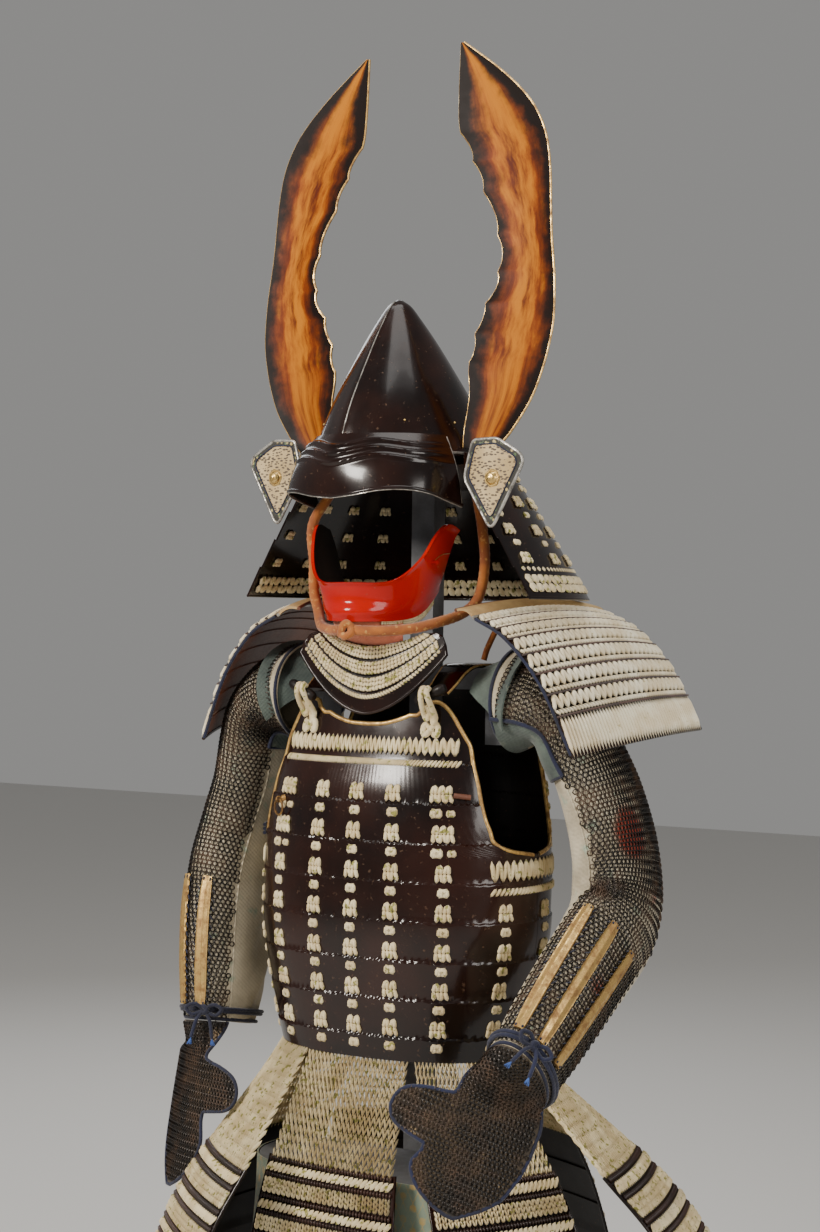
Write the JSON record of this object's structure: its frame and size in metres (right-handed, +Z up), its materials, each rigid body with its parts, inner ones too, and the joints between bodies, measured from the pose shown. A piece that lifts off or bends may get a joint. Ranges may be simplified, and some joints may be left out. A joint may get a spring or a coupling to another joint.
{
  "type": "samurai armour on a display stand",
  "caption": "Complete samurai armour standing on a limbless stand: horned helmet, half mask, laced cuirass, shoulder guards, mail sleeves, skirt plates and thigh panels.",
  "frame": {"origin": "middle of the stand's base board on the floor", "axes": "+Z up; -Y is the armour's front; +X is the wearer's left"},
  "size_m": [0.7282, 0.5853, 1.817],
  "materials": {
    "board": "dark stained wood",
    "cream": "worn cream cloth",
    "gilt": "worn gilt",
    "horn": "lacquered amber, burnt black at the edges",
    "lacing": "cream silk braid with green flecks",
    "lacquer": "glossy brown-black lacquer",
    "leather": "tan leather, brown underneath",
    "mail": "dark iron mail, brown with age",
    "navy": "navy cloth and braid",
    "orange": "faded orange silk cord",
    "sage": "crumpled grey-green cloth",
    "salmon": "faded salmon cloth",
    "silk": "pale green brocade",
    "spotted": "cream leather with small dark dashes",
    "stand": "matt grey paint",
    "toggle": "polished dark wood",
    "vermilion": "glossy vermilion lacquer"
  },
  "bodies": {
    "armour": {"cuirass_front": "lacquer", "cuirass_back": "lacquer", "gilt_rim_front": "gilt", "gilt_rim_back": "gilt", "strap_left": "lacquer", "strap_right": "lacquer", "toggle_left": "toggle", "toggle_right": "toggle", "ring_mount": "gilt", "helmet_bowl": "lacquer", "visor": "lacquer", "neck_guard": "lacquer", "turnback_left": "spotted", "turnback_right": "spotted", "knob_left": "gilt", "knob_right": "gilt", "horn_left": "horn", "horn_right": "horn", "mask": "vermilion", "throat_guard": "lacing", "chin_cloth": "salmon", "helmet_cord_left": "orange", "helmet_cord_right": "orange", "tasset_front": "lacing", "tasset_left_front": "lacing", "tasset_left_side": "lacing", "tasset_back_left": "lacing", "tasset_back_right": "lacing", "tasset_right_side": "lacing", "tasset_right_front": "lacing", "sleeve_left": "cream", "mail_left": "mail", "splint_left_1": "gilt", "splint_left_2": "gilt", "splint_left_3": "gilt", "sleeve_right": "cream", "mail_right": "mail", "splint_right_1": "gilt", "splint_right_2": "gilt", "splint_right_3": "gilt", "hand_left": "mail", "hand_right": "mail", "wrist_tie_left": "navy", "wrist_tie_right": "navy", "sode_left": "lacing", "sode_right": "lacing", "sode_top_left": "leather", "sode_top_right": "leather", "sode_cord_left": "orange", "sode_cord_right": "orange", "shoulder_cloth_left": "sage", "shoulder_cloth_right": "sage", "haidate_left": "silk", "haidate_right": "silk", "stand_base": "board", "stand_post": "stand", "seat_board": "stand", "yoke": "stand", "head_cap": "stand"},
    "ring": {"ring": "gilt"}
  },
  "joints": [
    {"name": "ring_swing", "type": "hinge", "parent": "armour", "child": "ring", "pos_m": [-0.1189, -0.10405, 0.903], "axis": [-0.8977, 0.4407, 0], "range_deg": [0, 120]}
  ]
}
